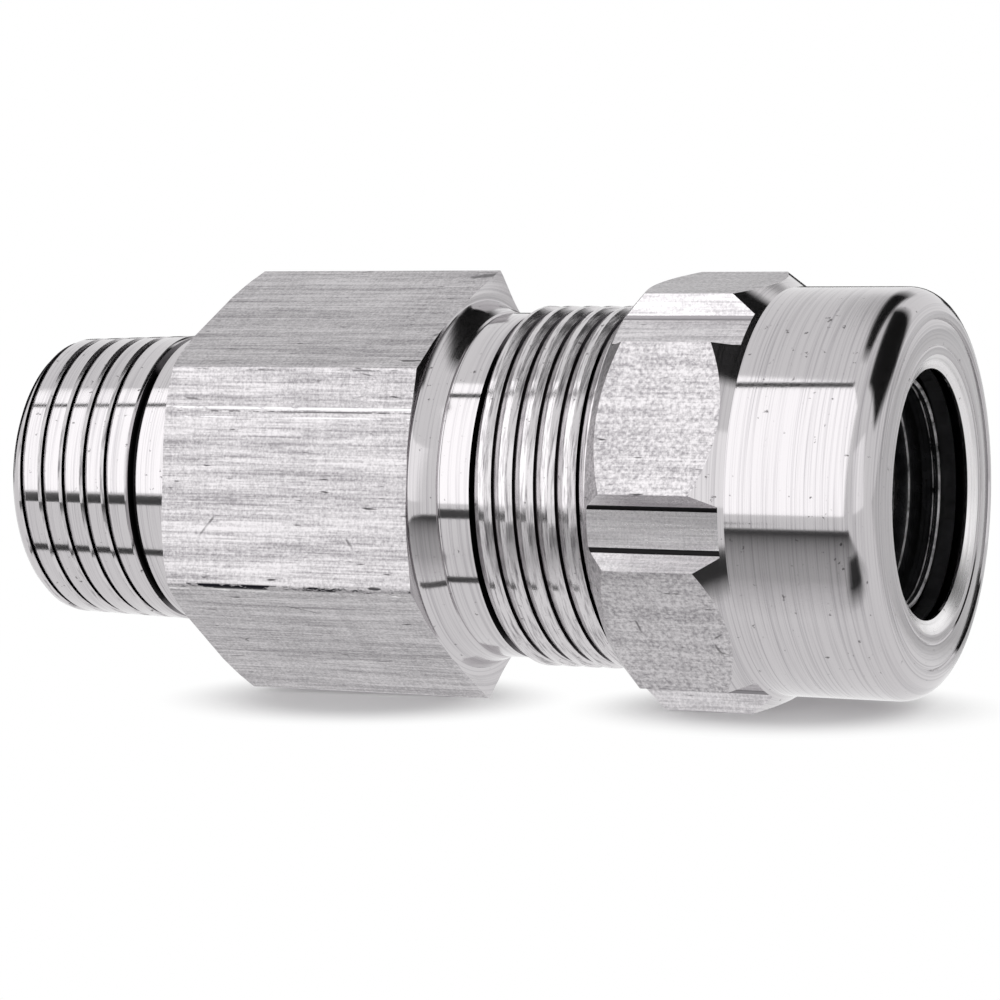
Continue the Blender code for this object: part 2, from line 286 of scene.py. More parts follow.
def oil_and_shade_finish(name, dark, lit_colour):
    """Dark at the sides from oil and painted shade, with painted light round the top and bottom of the groove."""
    material, tree, shader = new_finish(name)
    place = add_node(tree, "TexCoord").outputs["Object"]
    facing = add_node(tree, "VectorMath", {"operation": "NORMALIZE"}, {0: across_axis(tree, place)})
    height = add_node(tree, "SeparateXYZ", inputs={0: facing}).outputs["Z"]
    border_noise = add_node(tree, "TexNoise", inputs={
        "Vector": place, "Scale": per_metre(BORDER_NOISE_SIZE), "Detail": 4.0, "Roughness": 0.6})
    ragged = add_node(tree, "Math", {"operation": "MULTIPLY_ADD"}, {0: border_noise, 1: 0.06, 2: height})
    top = add_node(tree, "MapRange", inputs={"Value": ragged, "From Min": 0.89, "From Max": 0.93})
    bottom = add_node(tree, "MapRange", inputs={"Value": ragged, "From Min": -0.72, "From Max": -0.9})
    painted_light_ends = add_node(tree, "Math", {"operation": "MAXIMUM"}, {0: top, 1: bottom})
    colour = add_node(tree, "Mix", OF_COLOURS, {"Factor": painted_light_ends, "A": dark, "B": lit_colour})
    fill_inputs(tree, shader, {"Base Color": colour, "Metallic": 1.0, "Roughness": 0.35})
    return material


# Oiled thread root: old cutting oil that nothing rubs away, with painted shade: nearly black, with painted
# light at the top and bottom.
oil_and_shade_root = oil_and_shade_finish("oily_root_painted_shade", "#1B1A1B", "#8A878A")
# Dry thread root: painted shade in the gland thread's grooves, only a dull grey, with painted light at the top
# and bottom.
dry_root_shade = oil_and_shade_finish("dry_root_painted_shade", "#5C585A", "#8F8C8F")

# %% [markdown]
# The flats of the hexagon and of the nut aren't turned. They keep the skin of the extruded bar, with long drawn
# streaks from the die, a fine grain, and the nicks and scratches of handling. Streaks are a noise that is
# stretched along the bar, nicks are the few places where a shorter noise rises above a limit, and scratches run
# between the cells of a Voronoi pattern. A die line, and the painted shade and highlights along the hexagon's
# rounded corners, are narrow bands at one angle round the bar.

# %% Extruded aluminium
# Each noise of the skin: the size of its grain along X, Y and Z in millimetres, its detail and its roughness
# The last noise breaks up the die line and the painted shade and highlights along the corners.
SKIN_NOISES = {"fine": ((5.88, 0.161, 0.161), 4.0, 0.7), "broad": ((22.2, 0.667, 0.667), 4.0, 0.6),
               "chatter": ((0.385, 16.7, 16.7), 3.0, 0.6), "nicks": ((2.38, 0.385, 0.385), 2.0, 0.5),
               "handled": ((3.85, 3.85, 3.85), 2.0, 0.6), "mark_breakup": ((4.76, 1.43, 1.43), 5.0, 0.8)}
SCRATCH_CELL = (13.3, 6.25, 6.25)
NICK_COLOUR = "#4A484A"
SCRATCH_COLOUR = "#565456"


def skin_noises(tree, place, grain_size):
    """The noises of an extruded skin by name, with the grain among them."""
    noises = {}
    with_grain = {**SKIN_NOISES, "grain": ((grain_size,) * 3, 3.0, 0.7)}
    for name, (sizes, detail, harshness) in with_grain.items():
        stretched = add_node(tree, "Mapping",
                             inputs={"Vector": place, "Scale": [per_metre(size) for size in sizes]})
        noises[name] = add_node(tree, "TexNoise", inputs={
            "Vector": stretched, "Scale": 1.0, "Detail": detail, "Roughness": harshness})
    return noises


def scratched(tree, place, handled, colour):
    """A colour with fine scratches over it, where the bar was handled."""
    cells = add_node(tree, "Mapping", inputs={
        "Vector": place, "Scale": [per_metre(size) for size in SCRATCH_CELL], "Rotation": (0.3, 0.2, 0.5)})
    crack = add_node(tree, "TexVoronoi", {"feature": "DISTANCE_TO_EDGE"},
                     {"Vector": cells, "Scale": 1.0})
    thin = add_node(tree, "MapRange", inputs={
        "Value": crack, "From Min": 0.003, "From Max": 0.009, "To Min": 0.75, "To Max": 0.0})
    here = add_node(tree, "MapRange", inputs={"Value": handled, "From Min": 0.6, "From Max": 0.64})
    scratch = add_node(tree, "Math", {"operation": "MULTIPLY"}, {0: thin, 1: here})
    return add_node(tree, "Mix", OF_COLOURS, {"Factor": scratch, "A": colour, "B": SCRATCH_COLOUR})


def with_die_line_and_corner_light(tree, place, mark_breakup, colour, marks):
    """A colour with a die line and painted corner shade and highlights over it: the angle, half width, cover and
    colour of each.
    """
    facing = add_node(tree, "VectorMath", {"operation": "NORMALIZE"}, {0: across_axis(tree, place)})
    for angle, half_width, cover, mark_colour in marks:
        way = (0.0, -math.cos(math.radians(angle)), math.sin(math.radians(angle)))
        edge = math.cos(math.radians(half_width))
        near = add_node(tree, "VectorMath", {"operation": "DOT_PRODUCT"}, {0: facing, 1: way})
        band = add_node(tree, "MapRange", inputs={
            "Value": near, "From Min": edge, "From Max": (1.0 + edge) / 2.0})
        broken = add_node(tree, "MapRange", inputs={
            "Value": mark_breakup, "From Min": 1.0 - cover, "From Max": 1.06 - cover})
        mark_mask = add_node(tree, "Math", {"operation": "MULTIPLY"}, {0: band, 1: broken})
        colour = add_node(tree, "Mix", OF_COLOURS, {"Factor": mark_mask, "A": colour, "B": mark_colour})
    return colour


def extruded_finish(name, colour, shade, roughness, grain_size=0.192, grain_share=0.34, marks=()):
    """A drawn skin: streaks and grain in two colours, then nicks, scratches and the die's marks."""
    material, tree, shader = new_finish(name)
    place = add_node(tree, "TexCoord").outputs["Object"]
    noises = skin_noises(tree, place, grain_size)
    streaks = add_node(tree, "Mix", inputs={"Factor": 0.4, "A": noises["fine"], "B": noises["broad"]})
    grained = add_node(tree, "Mix", inputs={"Factor": grain_share, "A": streaks, "B": noises["grain"]})
    skin = add_node(tree, "Mix", inputs={"Factor": 0.08, "A": grained, "B": noises["chatter"]})
    wear = add_node(tree, "MapRange", inputs={"Value": skin, "From Min": 0.41, "From Max": 0.57})
    streaked = add_node(tree, "Mix", OF_COLOURS, {"Factor": wear, "A": shade, "B": colour})
    nick = add_node(tree, "MapRange", inputs={
        "Value": noises["nicks"], "From Min": 0.7, "From Max": 0.76})
    nicked = add_node(tree, "Mix", OF_COLOURS, {"Factor": nick, "A": streaked, "B": NICK_COLOUR})
    worn = scratched(tree, place, noises["handled"], nicked)
    marked = with_die_line_and_corner_light(tree, place, noises["mark_breakup"], worn, marks)
    gloss = add_node(tree, "MapRange", inputs={
        "Value": skin, "From Min": 0.35, "From Max": 0.65, "To Min": roughness * 1.2, "To Max": roughness * 0.8})
    relief = add_node(tree, "Bump", inputs={"Height": skin, "Distance": 0.02 * MM})
    fill_inputs(tree, shader, {"Base Color": marked, "Roughness": gloss, "Normal": relief, "Metallic": 1.0})
    return material


# Extruded bar: drawn through a die and never machined, so it is duller than the turned parts and streaked.
# Its marks are a die line on the front flat, drawn as a dark line between two painted highlights, painted
# shade along the upper front corner, and painted shade beside a painted highlight along the lower front corner.
DIE_LINE_AND_CORNER_LIGHT = ((31.8, 0.38, 0.62, "#DEDCDE"), (30.9, 0.25, 0.55, "#6A686A"), (29.3, 0.2, 0.5, "#DAD8DA"),
             (41.3, 0.25, 0.5, "#7A787A"), (-18.3, 0.85, 0.53, "#17161D"), (-19.8, 0.5, 0.5, "#E9E7E8"))
extruded_aluminium = extruded_finish("extruded_aluminium", "#CDCACC", "#8E8B8E", 0.4, marks=DIE_LINE_AND_CORNER_LIGHT)
# Nut flats: the same skin with a coarser grain, a little sand-like, where the bar lay in store.
pitted_aluminium = extruded_finish("pitted_extruded_aluminium", "#CBC8CA", "#928F92", 0.4, 0.263, 0.54)
# Milled grooves: cut along the nut by a small cutter, so they are streaked like the bar but brighter.
milled_aluminium = extruded_finish("milled_aluminium", "#E4E1E3", "#AEABAE", 0.3)

# %% [markdown]
# The moulded pieces inside need little: a fine mottle in their gloss, as a mould leaves it.

# %% Moulded and stamped finishes
MOTTLE_SIZE = 1.11


def moulded_finish(name, colour, shade, roughness, metallic=0.0):
    """A soft mottle in two colours, which also varies the gloss."""
    material, tree, shader = new_finish(name)
    place = add_node(tree, "TexCoord").outputs["Object"]
    mottle = add_node(tree, "TexNoise", inputs={
        "Vector": place, "Scale": per_metre(MOTTLE_SIZE), "Detail": 4.0, "Roughness": 0.6})
    patch = add_node(tree, "MapRange", inputs={"Value": mottle, "From Min": 0.35, "From Max": 0.65})
    mottled = add_node(tree, "Mix", OF_COLOURS, {"Factor": patch, "A": shade, "B": colour})
    gloss = add_node(tree, "MapRange", inputs={
        "Value": mottle, "From Min": 0.3, "From Max": 0.7, "To Min": roughness * 0.8, "To Max": roughness * 1.2})
    relief = add_node(tree, "Bump", inputs={"Height": mottle, "Distance": 0.02 * MM})
    fill_inputs(tree, shader, {"Base Color": mottled, "Roughness": gloss, "Normal": relief,
                               "Metallic": metallic})
    return material


# Rubber from a polished mould: nearly black, and glossy enough to show thin arcs of light on its ribs.
black_rubber = moulded_finish("moulded_black_rubber", "#222224", "#131314", 0.22)
# Rib rims: light grey painted highlights in patches on the rims of the ribs.
rib_highlight_rubber = moulded_finish("black_rubber_painted_highlights", "#B4B2B4", "#1A1A1B", 0.3)
# Glass-smooth nylon that lets the nut slide.
black_nylon = moulded_finish("moulded_black_nylon", "#1D1D1F", "#141415", 0.35)
# Unfilled nylon is the colour of bone.
natural_nylon = moulded_finish("moulded_natural_nylon", "#DDD6C6", "#CFC7B4", 0.45)
# Stamped spring steel, bright from the rolls.
stainless = moulded_finish("stamped_stainless_steel", "#C9C6C2", "#B4B1AD", 0.25, 1.0)
print("finishes:", len(bpy.data.materials))

# %% [markdown]
# The body is one turning. These are its lengths and radii as on a drawing, from the open end of the pipe thread
# to the mouth that the bushing presses into, and the places along the axis follow from the lengths. The middle
# of the connector is at 0, as in the CAD model, and the pipe thread grows by 1 in 32 on its radius.

# %% Sizes of the body
PIPE_LENGTH = 15.0
HEX_LENGTH = 19.7
SHOULDER_LENGTH = 1.65
COLLAR_LENGTH = 2.35
EXPOSED_THREAD = 9.35
GLAND_THREAD_LENGTH = 16.4
SOCKET_DEPTH = 13.0
NUT_LENGTH = 20.5
OVERALL_LENGTH = PIPE_LENGTH + HEX_LENGTH + SHOULDER_LENGTH + COLLAR_LENGTH + EXPOSED_THREAD + NUT_LENGTH

PIPE_END = -OVERALL_LENGTH / 2.0
HEX_START = PIPE_END + PIPE_LENGTH
HEX_END = HEX_START + HEX_LENGTH
COLLAR_START = HEX_END + SHOULDER_LENGTH
GLAND_START = COLLAR_START + COLLAR_LENGTH
GLAND_END = GLAND_START + GLAND_THREAD_LENGTH
SOCKET_FLOOR = GLAND_END - SOCKET_DEPTH

PIPE_RADIUS = 10.36
PIPE_PITCH = 1.814
PIPE_TAPER = 1.0 / 32.0
GLAND_RADIUS = 12.95
GLAND_PITCH = 1.5875
COLLAR_RADIUS = 12.45
THROAT_RADIUS = 7.9
SOCKET_RADIUS = 8.9
MOUTH_RADIUS = 10.8
MOUTH_DEPTH = 3.6
HEX_APOTHEM = 13.5
FLAT_TO_CORNER = 1.0 / math.cos(math.pi / 6.0)
HEX_CORNER = HEX_APOTHEM * FLAT_TO_CORNER
# Degrees that the hexagon is turned, so that the connector lies on one of its corners
HEX_TURN = 18.1


def pipe_radius(along):
    """The pipe thread's radius at its crests."""
    return PIPE_RADIUS + (along - PIPE_END) * PIPE_TAPER


# %% [markdown]
# A thread is a small section carried along a helix by the Screw modifier. The section has a narrow root, a
# steep wall and then a shallow ease, because a real crest isn't a sharp edge: it is rolled over a little, and
# catches a bright line beside the dark one. The root faces get their own finish before the cut.

# %% A thread cutter
THREAD_STEPS = 96
# The section is drawn at the top. The side that faces the camera is this share of a turn further on.
TOP_TO_NEAR_SIDE = 78.5 / 360.0
ABOVE_CREST = 0.05
CLEAR_OF_CREST = 0.3


def thread_cutter(name, root_finish, first_groove, turns, pitch, radius, root, throat, opening, depth, ease,
                  taper=0.0):
    """A tool point on a right-hand helix, with half widths, and its groove at first_groove on the near side."""
    start = first_groove - pitch * (1.0 + TOP_TO_NEAR_SIDE)
    half = [(root, radius - depth), (throat, radius - ease), (opening, radius + ABOVE_CREST),
            (opening, radius + CLEAR_OF_CREST)]
    section = [(start - side, height) for side, height in half]
    section += [(start + side, height) for side, height in reversed(half)]
    tool = draw_section(name, section)
    apply_modifier(tool, "SCREW", axis="X", angle=math.tau, screw_offset=pitch * MM, iterations=turns,
                   steps=THREAD_STEPS, render_steps=THREAD_STEPS,
                   use_merge_vertices=True, merge_threshold=SAME_POINT * MM)
    bpy.ops.object.mode_set(mode="EDIT")
    bpy.ops.mesh.select_all(action="SELECT")
    bpy.ops.mesh.fill_holes(sides=0)
    face_outwards()
    tool.data.materials.append(threaded_aluminium)
    finish_faces(tool, root_finish, lambda along, out, normal: out < radius - ease)
    if taper:
        places = [vert.co.x / MM for vert in tool.data.vertices]
        apply_modifier(tool, "SIMPLE_DEFORM", deform_method="TAPER", deform_axis="X",
                       factor=taper / radius * (max(places) - min(places)))
    return tool


# %% [markdown]
# The pipe end is a tapered tube with a rounded nose, so that it finds its way into the box. Near the hexagon a
# small relief groove lets the thread tool run out, and oil and painted shade darken it as they do the thread.

# %% The pipe end
# Both profiles are steps along the axis, with how far each lies under the crests.
PIPE_NOSE = ((0.0, 0.8), (0.25, 0.45), (0.7, 0.1), (1.1, 0.0))
RELIEF_GROOVE = ((-0.5, 0.0), (-0.32, 0.15), (-0.1, 0.6), (0.12, 0.6), (0.3, 0.15), (0.5, 0.0))
RELIEF = HEX_START - 4.325
FIRST_PIPE_GROOVE = PIPE_END + 1.16


def in_relief_groove(along, out, normal):
    return abs(along - RELIEF) < 0.4 and THROAT_RADIUS + 2.0 < out < pipe_radius(RELIEF) - 0.1


section = [(PIPE_END, THROAT_RADIUS)]
section += [(PIPE_END + step, pipe_radius(PIPE_END + step) - drop) for step, drop in PIPE_NOSE]
section += [(RELIEF + step, pipe_radius(RELIEF + step) - drop) for step, drop in RELIEF_GROOVE]
section += [(HEX_START, pipe_radius(HEX_START)), (HEX_START, THROAT_RADIUS)]
pipe_end = spin_section("pipe_end", section)
pipe_end.data.materials.append(turned_aluminium)
# Painted shade: the relief groove and the thread's roots get the dark root finish, old oil with painted shade.
finish_faces(pipe_end, oil_and_shade_root, in_relief_groove)
cut(pipe_end, thread_cutter("pipe_thread_tool", oil_and_shade_root, FIRST_PIPE_GROOVE, turns=6, pitch=PIPE_PITCH,
                            radius=pipe_radius(0.0), root=0.06, throat=0.13, opening=0.42, depth=0.65,
                            ease=0.14, taper=PIPE_TAPER))
print("pipe end:", len(pipe_end.data.polygons), "faces")

# %% [markdown]
# The wrench hexagon is a length of hexagonal bar, and the die rounds its corners slightly. So it starts as a
# cylinder of six sides, laid along the axis and turned like the one in the photograph, and bevelled.

# %% A hexagonal bar with rounded corners
CORNER_ROUNDING = 0.14


def hex_bar(name, corner, low, high, turn):
    """A six-sided bar along the axis, with a corner at the turn angle."""
    bpy.ops.object.select_all(action="DESELECT")
    bpy.ops.mesh.primitive_cylinder_add(
        vertices=6, radius=corner * MM, depth=(high - low) * MM,
        location=((low + high) / 2.0 * MM, 0, 0), rotation=(0, math.pi / 2.0, 0))
    bar = bpy.context.active_object
    bar.name = name
    bpy.ops.object.transform_apply(location=True, rotation=True, scale=True)
    point = bar.data.vertices[0].co
    bar.rotation_euler.x = math.radians(turn) - math.atan2(point.z, point.y)
    bpy.ops.object.transform_apply(location=False, rotation=True, scale=False)
    return bar


def select_edges(piece, wanted):
    """In edit mode, select just the edges that the test wants."""
    bpy.ops.mesh.select_mode(type="EDGE")
    bpy.ops.mesh.select_all(action="DESELECT")
    mesh = bmesh.from_edit_mesh(piece.data)
    for edge in mesh.edges:
        edge.select = wanted(edge)
    bmesh.update_edit_mesh(piece.data)


def runs_along(edge):
    return abs(edge.verts[0].co.x - edge.verts[1].co.x) > MM


wrench_hex = hex_bar("wrench_hex", HEX_CORNER, HEX_START - 1.0, GLAND_START + 1.0, HEX_TURN)
bpy.ops.object.mode_set(mode="EDIT")
select_edges(wrench_hex, runs_along)
bpy.ops.mesh.bevel(offset=CORNER_ROUNDING * MM, segments=3)
bpy.ops.object.mode_set(mode="OBJECT")
wrench_hex.data.materials.append(extruded_aluminium)

# %% [markdown]
# The lathe rounds the bar's end at the box side. At the gland side it dishes the ends of the six flats a little,
# and runs them down a short cone to a round collar. So the bar keeps only what it shares with a turned solid of
# that form.

# %% Turn the hexagon's ends, the shoulder and the collar
# Each profile is steps along the axis from its place, with the radius there.
BARREL_STEPS = 216
PAST_CORNERS = HEX_CORNER + 0.2
BOX_SIDE_ROUNDING = ((0.0, 13.9), (0.25, 14.7), (0.75, PAST_CORNERS))
DISH = ((0.3, PAST_CORNERS), (0.2, 15.2), (0.0, 14.5), (-0.2, 13.95), (-0.3, 13.6), (-0.25, 13.35), (0.0, 13.15))
CONE_FOOT = ((-0.12, 12.56), (-0.04, 12.4), (0.06, 12.4), (0.12, COLLAR_RADIUS))
section = [(HEX_START, THROAT_RADIUS)]
section += [(HEX_START + step, radius) for step, radius in BOX_SIDE_ROUNDING]
section += [(HEX_END + step, radius) for step, radius in DISH]
section += [(COLLAR_START + step, radius) for step, radius in CONE_FOOT]
section += [(GLAND_START, COLLAR_RADIUS), (GLAND_START, THROAT_RADIUS)]
barrel = spin_section("barrel", section, BARREL_STEPS)
barrel.data.materials.append(turned_aluminium)
cut(wrench_hex, barrel, "INTERSECT")
print("hexagon:", len(wrench_hex.data.polygons), "faces")

# %% [markdown]
# The gland end is turned and then threaded, with a narrow groove behind the collar where the thread tool runs
# out. The nut covers the far turns. Their grooves, from just in front of the nut on, are painted as dark as the
# pipe thread's, as painted shade where the thread meets the nut.

# %% The gland end
RUN_OUT = ((0.0, COLLAR_RADIUS), (0.18, COLLAR_RADIUS - 0.5), (0.42, COLLAR_RADIUS - 0.5),
           (0.62, GLAND_RADIUS - 0.1), (0.75, GLAND_RADIUS))
END_CHAMFER = 0.9
FIRST_GLAND_GROOVE = GLAND_START + 1.9125
CREST_EASE = 0.28
SHADED_ROOTS_START = 11.9


def in_run_out(along, out, normal):
    return along < GLAND_START + 0.6 and COLLAR_RADIUS - 0.55 < out < COLLAR_RADIUS - 0.1


# Painted shade: the thread's roots from just in front of the nut to under it.
def in_shaded_thread_by_nut(along, out, normal):
    return along > SHADED_ROOTS_START and SOCKET_RADIUS + 2.5 < out < GLAND_RADIUS - CREST_EASE


section = [(GLAND_START, THROAT_RADIUS)] + [(GLAND_START + step, radius) for step, radius in RUN_OUT]
section += [(GLAND_END - END_CHAMFER, GLAND_RADIUS), (GLAND_END, GLAND_RADIUS - END_CHAMFER),
            (GLAND_END, MOUTH_RADIUS), (GLAND_END - MOUTH_DEPTH, SOCKET_RADIUS), (SOCKET_FLOOR, SOCKET_RADIUS),
            (SOCKET_FLOOR, THROAT_RADIUS)]
gland_end = spin_section("gland_end", section)
gland_end.data.materials.append(threaded_aluminium)
# Painted shade: dark in the run-out groove, grey in the thread's roots, and dark again by the nut.
finish_faces(gland_end, oil_and_shade_root, in_run_out)
cut(gland_end, thread_cutter("gland_thread_tool", dry_root_shade, FIRST_GLAND_GROOVE, turns=11, pitch=GLAND_PITCH,
                             radius=GLAND_RADIUS, root=0.06, throat=0.14, opening=0.66, depth=0.6,
                             ease=CREST_EASE))
finish_faces(gland_end, oil_and_shade_root, in_shaded_thread_by_nut)
print("gland end:", len(gland_end.data.polygons), "faces")

# %% [markdown]
# The three turnings are one piece of metal on the real connector, so they are joined. Smooth shading by angle
# keeps the turned surfaces round and leaves the edges of chamfers and flats sharp.

# %% Join the body
SHARP_EDGE = math.radians(28.0)


def join_pieces(name, pieces):
    """Join pieces into the first one, and smooth all but the sharp edges."""
    select_only(pieces[0])
    for piece in pieces[1:]:
        piece.select_set(True)
    bpy.ops.object.join()
    pieces[0].name = name
    bpy.ops.object.shade_smooth_by_angle(angle=SHARP_EDGE)
    return pieces[0]


connector_body = join_pieces("connector_body", [pipe_end, wrench_hex, gland_end])
rest_object_on_axis(connector_body)
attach(connector_body, "body")
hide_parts("body")

# %% [markdown]
# The gland nut is turned first, with a long cylinder, a round front edge, a countersunk lip and the cone that
# presses on the bushing. Six flats are then milled on its back half, and a shallow groove between each two of
# them, so that a wrench or a hand can hold it. Its end face keeps the small steps of the facing tool.

# %% Turn the gland nut
LAND_LENGTH = 8.2
LAND_TAPER = 2.0
NUT_START = GLAND_START + EXPOSED_THREAD
NUT_END = NUT_START + NUT_LENGTH
LAND_END = NUT_START + LAND_LENGTH
CYLINDER_START = LAND_END + LAND_TAPER
LAND_RADIUS = 15.75
LAND_APOTHEM = 14.75
NUT_RADIUS = 14.32
NUT_FILLET = 2.15
REAR_CHAMFER = 1.75
NUT_BORE = 13.25
NUT_THREAD_DEPTH = 11.0
SEAT_RADIUS = 12.4
LIP_RADIUS = 8.7
LIP_BACK = NUT_END - 0.8
# Steps of the end face: how deep each corner lies, and its radius
FACE_STEPS = ((0.14, 12.08), (0.05, 11.9), (0.05, 10.35), (0.12, 10.25), (0.08, 10.15), (0.08, 9.75),
              (0.12, 9.65), (0.6, LIP_RADIUS))
NUT_STEPS = 192


def arc(centre, radius, first, last, steps):
    """Points along an arc between two angles in degrees."""
    angles = [math.radians(first + (last - first) * step / steps) for step in range(steps + 1)]
    return [(centre[0] + radius * math.cos(a), centre[1] + radius * math.sin(a)) for a in angles]


def on_lip_chamfer(along, out, normal):
    return NUT_END - 0.7 < along < NUT_END - 0.1 and out < 9.7


def on_rear_chamfer(along, out, normal):
    return normal.x < -0.3 and along < NUT_START + REAR_CHAMFER


section = [(NUT_START, NUT_BORE), (NUT_START, LAND_RADIUS - REAR_CHAMFER),
           (NUT_START + REAR_CHAMFER, LAND_RADIUS), (LAND_END, LAND_RADIUS), (CYLINDER_START, NUT_RADIUS)]
section += arc((NUT_END - NUT_FILLET, NUT_RADIUS - NUT_FILLET), NUT_FILLET, 90.0, 0.0, 10)
section += [(NUT_END - depth, radius) for depth, radius in FACE_STEPS]
section += [(LIP_BACK, LIP_RADIUS), (LIP_BACK - (SEAT_RADIUS - LIP_RADIUS), SEAT_RADIUS),
            (NUT_START + NUT_THREAD_DEPTH, SEAT_RADIUS), (NUT_START + NUT_THREAD_DEPTH, NUT_BORE)]
nut = spin_section("gland_nut_turned", section, NUT_STEPS)
nut.data.materials.append(handled_aluminium)
# Painted highlight: the lip's chamfer gets the nearly white finish.
finish_faces(nut, lip_highlight_aluminium, on_lip_chamfer)
finish_faces(nut, pitted_aluminium, on_rear_chamfer)
flats = hex_bar("flats", LAND_APOTHEM * FLAT_TO_CORNER, NUT_START - 1.0, NUT_END + 1.0, 0.0)
flats.data.materials.append(pitted_aluminium)
cut(nut, flats, "INTERSECT")

# %% [markdown]
# A groove's section is a flat floor, a small hollow corner, a leaning wall and a rounded edge. The two roundings
# are tiny, but they get painted shade, the dark root finish, so they draw the dark lines along each groove. The
# cutter is the section pushed along the nut, and it is shaped once.

# %% Shape the groove's cutter
GROOVE_FLOOR = 14.22
FLOOR_HALF = 1.45
WALL_LEAN = 41.0
HOLLOW = 0.45
HOLLOW_OVERLAP = 0.15
EDGE = 0.5
EDGE_DROP = 0.28
EDGE_END = 105.0
CUTTER_SIDE = (1.5, 1.2)
OPENING = 2.75
CUTTER_START = NUT_START - 1.0
CUTTER_END = CYLINDER_START - 0.35
# Faces under this area, in square millimetres, are strips of the roundings, which get painted shade.
SHADED_STRIP_AREA = 0.2 * (CYLINDER_START - NUT_START)

# Where the flat meets the groove's opening, seen from the groove's own middle line
flat_height = (LAND_APOTHEM + OPENING / 2.0) * FLAT_TO_CORNER
lean = math.radians(WALL_LEAN)
half = [(0.0, GROOVE_FLOOR)]
half += arc((FLOOR_HALF - HOLLOW_OVERLAP, GROOVE_FLOOR + HOLLOW), HOLLOW, -90.0, -WALL_LEAN, 5)
rise = flat_height - EDGE_DROP - half[-1][1]
foot = (half[-1][0] + rise * math.tan(lean), flat_height - EDGE_DROP)
half += arc((foot[0] + EDGE * math.cos(lean), foot[1] - EDGE * math.sin(lean)), EDGE, 180.0 - WALL_LEAN,
            EDGE_END, 4)
half.append((half[-1][0] + CUTTER_SIDE[0], half[-1][1] + CUTTER_SIDE[1]))
cutter = draw_section("groove_cutter", [(-side, height) for side, height in reversed(half[1:])] + half)
bpy.ops.object.mode_set(mode="EDIT")
bpy.ops.mesh.select_all(action="SELECT")
bpy.ops.mesh.edge_face_add()
bpy.ops.transform.rotate(value=math.pi / 2.0, orient_axis="Z", center_override=(0, 0, 0))
bpy.ops.transform.translate(value=(CUTTER_START * MM, 0, 0))
bpy.ops.mesh.extrude_region_move(TRANSFORM_OT_translate={"value": ((CUTTER_END - CUTTER_START) * MM, 0, 0)})
face_outwards()
cutter.data.materials.append(milled_aluminium)
# Painted shade: the narrow strips of the roundings take the dark root finish.
cutter.data.materials.append(oil_and_shade_root)
for face in cutter.data.polygons:
    face.material_index = int(face.area < SHADED_STRIP_AREA * MM * MM)
print("groove cutter:", len(cutter.data.polygons), "faces")

# %% [markdown]
# Each groove is cut by its own copy of the cutter, turned to its place.

# %% Mill the six grooves
for turn in range(6):
    tool = cutter.copy()
    tool.data = cutter.data.copy()
    bpy.context.scene.collection.objects.link(tool)
    select_only(tool)
    tool.rotation_euler.x = math.pi / 2.0 + turn * math.pi / 3.0
    bpy.ops.object.transform_apply(location=False, rotation=True, scale=False)
    cut(nut, tool)
bpy.data.objects.remove(cutter)
select_only(nut)
bpy.ops.object.shade_smooth_by_angle(angle=SHARP_EDGE)
rest_object_on_axis(nut)
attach(nut, "nut")
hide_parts("gland_nut")

# %% [markdown]
# The bushing is soft, so it is modelled anew: a moulded cone with round ribs in its bore, which grip the cable's
# jacket. It is all that the eye sees through the mouth of the nut, where the ribs catch thin arcs of light, and
# painted highlights lie in patches on their rims.

# %% The sealing bushing
NOSE_LENGTH = 3.2
BUSHING_NOSE = GLAND_END - NOSE_LENGTH
BUSHING_FLANGE = GLAND_END + 0.3
BUSHING_RADIUS = 11.9
NOSE_BASE = 10.46
NOSE_TIP = 8.77
BUSHING_CONE_END = 31.854
BUSHING_TIP = 8.2
RIB_COUNT = 5
RIB_PITCH = (BUSHING_CONE_END - BUSHING_NOSE) / RIB_COUNT
# A groove between two ribs: shares of the pitch from its middle, and depths in millimetres
RIB_GROOVE = ((0.32, 0.0), (0.28, 0.08), (0.2, 0.6), (-0.2, 0.6), (-0.28, 0.08), (-0.32, 0.0))
MOUTH_RING_COUNT = 3
MOUTH_RING_PITCH = 0.35
MOUTH_RING = ((0.3, 0.0), (0.38, 0.14), (0.48, 0.14), (0.58, 0.0))
SOFT_EDGE = math.radians(40.0)


def on_rib_rims(along, out, normal):
    return abs(normal.x) > 0.3 and out < THROAT_RADIUS + 0.3 and along > GLAND_END


section = [(BUSHING_NOSE, NOSE_TIP - 0.15), (BUSHING_NOSE + 0.15, NOSE_TIP), (GLAND_END, NOSE_BASE),
           (BUSHING_FLANGE, NOSE_BASE), (BUSHING_FLANGE, BUSHING_RADIUS - 0.2),
           (BUSHING_FLANGE + 0.2, BUSHING_RADIUS),
           (BUSHING_CONE_END - (BUSHING_RADIUS - BUSHING_TIP), BUSHING_RADIUS),
           (BUSHING_CONE_END - 0.1, BUSHING_TIP + 0.1), (BUSHING_CONE_END, BUSHING_TIP - 0.05),
           (BUSHING_CONE_END, THROAT_RADIUS + 0.1), (BUSHING_CONE_END - 0.1, THROAT_RADIUS)]
for ring in range(MOUTH_RING_COUNT):
    section += [(BUSHING_CONE_END - ring * MOUTH_RING_PITCH - step, THROAT_RADIUS + depth)
                for step, depth in MOUTH_RING]
for rib in range(RIB_COUNT):
    middle = BUSHING_CONE_END - (rib + 0.5) * RIB_PITCH
    section += [(middle + share * RIB_PITCH, THROAT_RADIUS + depth) for share, depth in RIB_GROOVE]
section += [(BUSHING_NOSE + 0.1, THROAT_RADIUS), (BUSHING_NOSE, THROAT_RADIUS + 0.1)]
bushing = spin_section("sealing_bushing_moulded", section)
